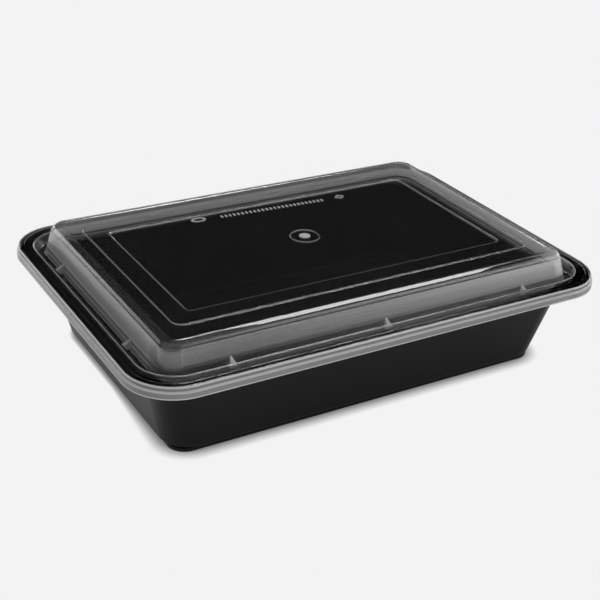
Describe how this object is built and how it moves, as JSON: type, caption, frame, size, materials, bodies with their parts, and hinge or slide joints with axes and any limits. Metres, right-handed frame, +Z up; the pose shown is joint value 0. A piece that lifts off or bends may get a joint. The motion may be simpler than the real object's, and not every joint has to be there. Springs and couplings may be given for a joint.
{
  "type": "takeaway meal container",
  "caption": "Shallow rectangular food tray with sloping walls and a wide rim, shut by a clear low dome lid whose skirt snaps over the rim.",
  "frame": {"origin": "on the table, under the middle of the tray", "axes": "+X along the long sides, +Y towards the far long side, +Z up out of the tray"},
  "size_m": [0.222, 0.156, 0.0529],
  "materials": {
    "black_plastic": "satin moulded polypropylene",
    "clear_plastic": "clear thin plastic, slightly hazy"
  },
  "bodies": {
    "root": {"tray": "black_plastic", "lid": "clear_plastic"}
  },
  "joints": []
}
